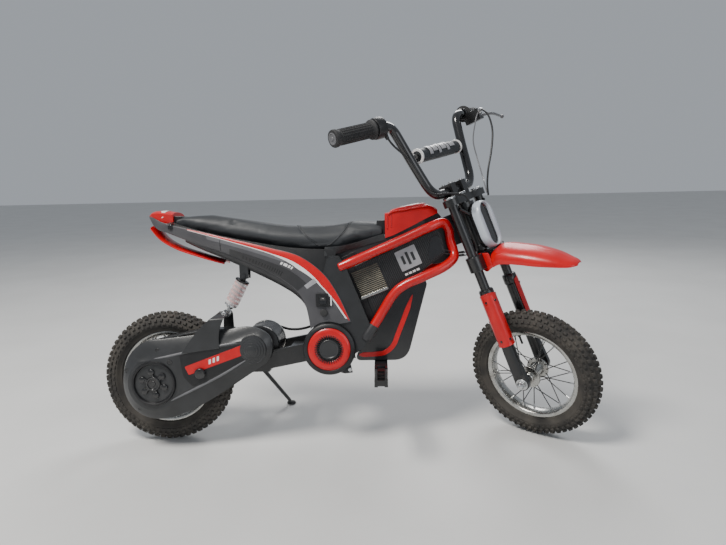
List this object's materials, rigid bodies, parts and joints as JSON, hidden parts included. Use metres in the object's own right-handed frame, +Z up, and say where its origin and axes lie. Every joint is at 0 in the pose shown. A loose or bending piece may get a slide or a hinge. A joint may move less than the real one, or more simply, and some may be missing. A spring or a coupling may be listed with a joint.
{
  "type": "ride-on electric dirt bike",
  "caption": "Children's ride-on electric dirt bike with knobbly spoked wheels, telescopic fork, sprung swingarm, chain drive and side stand.",
  "frame": {"origin": "on the ground, under the middle of the standing bike's bounding box", "axes": "+X towards the front wheel, +Y to the rider's left, +Z up; the bike leans 6 degrees to its left on its stand"},
  "size_m": [1.173, 0.5316, 0.808],
  "materials": {
    "red": "glossy moulded red",
    "black_plastic": "satin black",
    "grey_plastic": "satin dark grey",
    "black_steel": "gloss black powder coat",
    "red_steel": "gloss red enamel",
    "bright_steel": "zinc plated",
    "alloy_rim": "satin",
    "tyre_rubber": "matt",
    "grip_rubber": "matt",
    "vinyl": "grained vinyl",
    "spring_paint": "pale painted",
    "pale_lens": "frosted"
  },
  "bodies": {
    "chassis": {"head_tube": "black_steel", "main_frame": "grey_plastic", "battery_housing": "black_plastic", "battery_pack": "black_plastic", "motor_controller": "alloy_rim", "tank_cover": "red", "seat": "vinyl", "tail_cap": "red", "rear_mudguard": "red", "belly_cover": "black_plastic", "pivot_bolt": "bright_steel", "footpeg_bar": "black_steel", "frame_loop_right": "red_steel", "frame_loop_left": "red_steel", "side_panel_right": "grey_plastic", "side_panel_left": "grey_plastic", "pivot_cover_right": "black_plastic", "pivot_cover_left": "black_plastic"},
    "right_footpeg": {"footpeg_right": "black_steel"},
    "left_footpeg": {"footpeg_left": "black_steel"},
    "switch_rocker": {"power_switch": "black_plastic"},
    "charge_flap": {"charge_cap": "black_plastic"},
    "rear_swingarm": {"swingarm": "black_steel", "chain_case": "black_plastic", "drive_chain": "bright_steel", "brake_caliper": "black_steel", "motor_can": "black_steel", "rear_axle": "bright_steel"},
    "motor_core": {"motor_rotor": "bright_steel"},
    "rear_wheel": {"rear_hub": "bright_steel", "rear_rim": "alloy_rim", "rear_tyre": "tyre_rubber"},
    "brake_cam": {"brake_arm": "bright_steel"},
    "side_stand": {"kickstand": "black_steel"},
    "shock_upper": {"shock_body": "black_steel", "shock_spring": "spring_paint"},
    "shock_lower": {"shock_rod": "bright_steel"},
    "steering": {"steering_stem": "black_steel", "upper_clamp": "black_steel", "handlebar": "black_steel", "crossbar_pad": "vinyl", "headlight": "pale_lens", "front_fender": "red", "left_grip": "grip_rubber", "brake_perch": "alloy_rim", "throttle_housing": "black_plastic", "brake_cable": "black_plastic", "throttle_lead": "black_plastic", "fork_tube_right": "bright_steel", "fork_tube_left": "bright_steel"},
    "twist_grip": {"throttle_grip": "grip_rubber"},
    "lever": {"brake_lever": "alloy_rim"},
    "fork_lower": {"fork_leg_right": "black_steel", "fork_leg_left": "black_steel", "fork_guard_right": "red", "fork_guard_left": "red", "front_axle": "bright_steel"},
    "front_wheel": {"front_hub": "alloy_rim", "front_rim": "alloy_rim", "front_tyre": "tyre_rubber"}
  },
  "joints": [
    {"name": "steering", "type": "hinge", "parent": "chassis", "child": "steering", "pos_m": [0.44562, -0.06563, 0.15407], "axis": [-0.3584, 0.0976, 0.9285], "range_deg": [-2, 82]},
    {"name": "fork_travel", "type": "slide", "parent": "steering", "child": "fork_lower", "axis": [-0.3584, 0.0976, 0.9285], "range_m": [0, 0.035], "stiffness_N_per_m": 4500, "springref_m": -0.04},
    {"name": "front_wheel_spin", "type": "hinge", "parent": "fork_lower", "child": "front_wheel", "pos_m": [0.45277, -0.07173, 0.15748], "axis": [0.6001, 0.7859, 0.149], "continuous": true},
    {"name": "swingarm_pivot", "type": "hinge", "parent": "chassis", "child": "rear_swingarm", "pos_m": [-0.02805, -0.0572, 0.23431], "axis": [0, 0.9945, -0.1045], "range_deg": [0, 5.2], "stiffness_Nm_per_rad": 320, "springref_deg": -11.46},
    {"name": "rear_wheel_spin", "type": "hinge", "parent": "rear_swingarm", "child": "rear_wheel", "pos_m": [-0.42805, -0.06519, 0.15823], "axis": [0, 0.9945, -0.1045], "continuous": true},
    {"name": "motor_spin", "type": "hinge", "parent": "rear_swingarm", "child": "motor_core", "pos_m": [-0.19605, -0.05699, 0.2363], "axis": [0, 0.9945, -0.1045], "continuous": true},
    {"name": "brake_arm_turn", "type": "hinge", "parent": "rear_swingarm", "child": "brake_cam", "pos_m": [-0.38305, -0.05326, 0.20474], "axis": [0, 0.9945, -0.1045], "range_deg": [0, 13]},
    {"name": "kickstand_fold", "type": "hinge", "parent": "rear_swingarm", "child": "side_stand", "pos_m": [-0.22305, 0.00856, 0.15199], "axis": [0.0168, 0.8041, 0.5943], "range_deg": [0, 86.6]},
    {"name": "shock_swing", "type": "hinge", "parent": "chassis", "child": "shock_upper", "pos_m": [-0.22505, -0.08141, 0.40578], "axis": [0, 0.9945, -0.1045], "range_deg": [-0.5, 2.66]},
    {"name": "shock_stroke", "type": "slide", "parent": "shock_upper", "child": "shock_lower", "axis": [0.4633, 0.0926, 0.8814], "range_m": [-0.001, 0.024], "deforming": ["shock_spring"]},
    {"name": "throttle_twist", "type": "hinge", "parent": "steering", "child": "twist_grip", "pos_m": [0.09915, -0.12643, 0.72918], "axis": [-0.7633, -0.6121, -0.2067], "range_deg": [0, 60], "stiffness_Nm_per_rad": 0.15, "springref_deg": -28.65},
    {"name": "brake_lever_pull", "type": "hinge", "parent": "steering", "child": "lever", "pos_m": [0.3497, 0.12709, 0.7721], "axis": [-0.3584, 0.0976, 0.9285], "range_deg": [0, 15], "stiffness_Nm_per_rad": 0.8, "springref_deg": -17.19},
    {"name": "right_footpeg_fold", "type": "hinge", "parent": "chassis", "child": "right_footpeg", "pos_m": [0.08895, -0.16753, 0.19865], "axis": [-1, 0, 0], "range_deg": [0, 80], "stiffness_Nm_per_rad": 0.35, "springref_deg": -28.65},
    {"name": "left_footpeg_fold", "type": "hinge", "parent": "chassis", "child": "left_footpeg", "pos_m": [0.08895, 0.04331, 0.17649], "axis": [1, 0, 0], "range_deg": [0, 80], "stiffness_Nm_per_rad": 0.35, "springref_deg": -28.65},
    {"name": "power_switch_rock", "type": "hinge", "parent": "chassis", "child": "switch_rocker", "pos_m": [-0.04005, -0.12913, 0.35349], "axis": [1, 0, 0], "range_deg": [0, 8]},
    {"name": "charge_cap_open", "type": "hinge", "parent": "chassis", "child": "charge_flap", "pos_m": [-0.03805, -0.13112, 0.33459], "axis": [-1, 0, 0], "range_deg": [0, 100]}
  ],
  "couplings": [
    {"joint": "motor_spin", "follows": "rear_wheel_spin", "ratio": 4},
    {"joint": "shock_swing", "follows": "swingarm_pivot", "ratio": 0.3955},
    {"joint": "shock_stroke", "follows": "swingarm_pivot", "m_per_rad": 0.25342},
    {"joint": "brake_arm_turn", "follows": "brake_lever_pull", "ratio": 0.8}
  ]
}
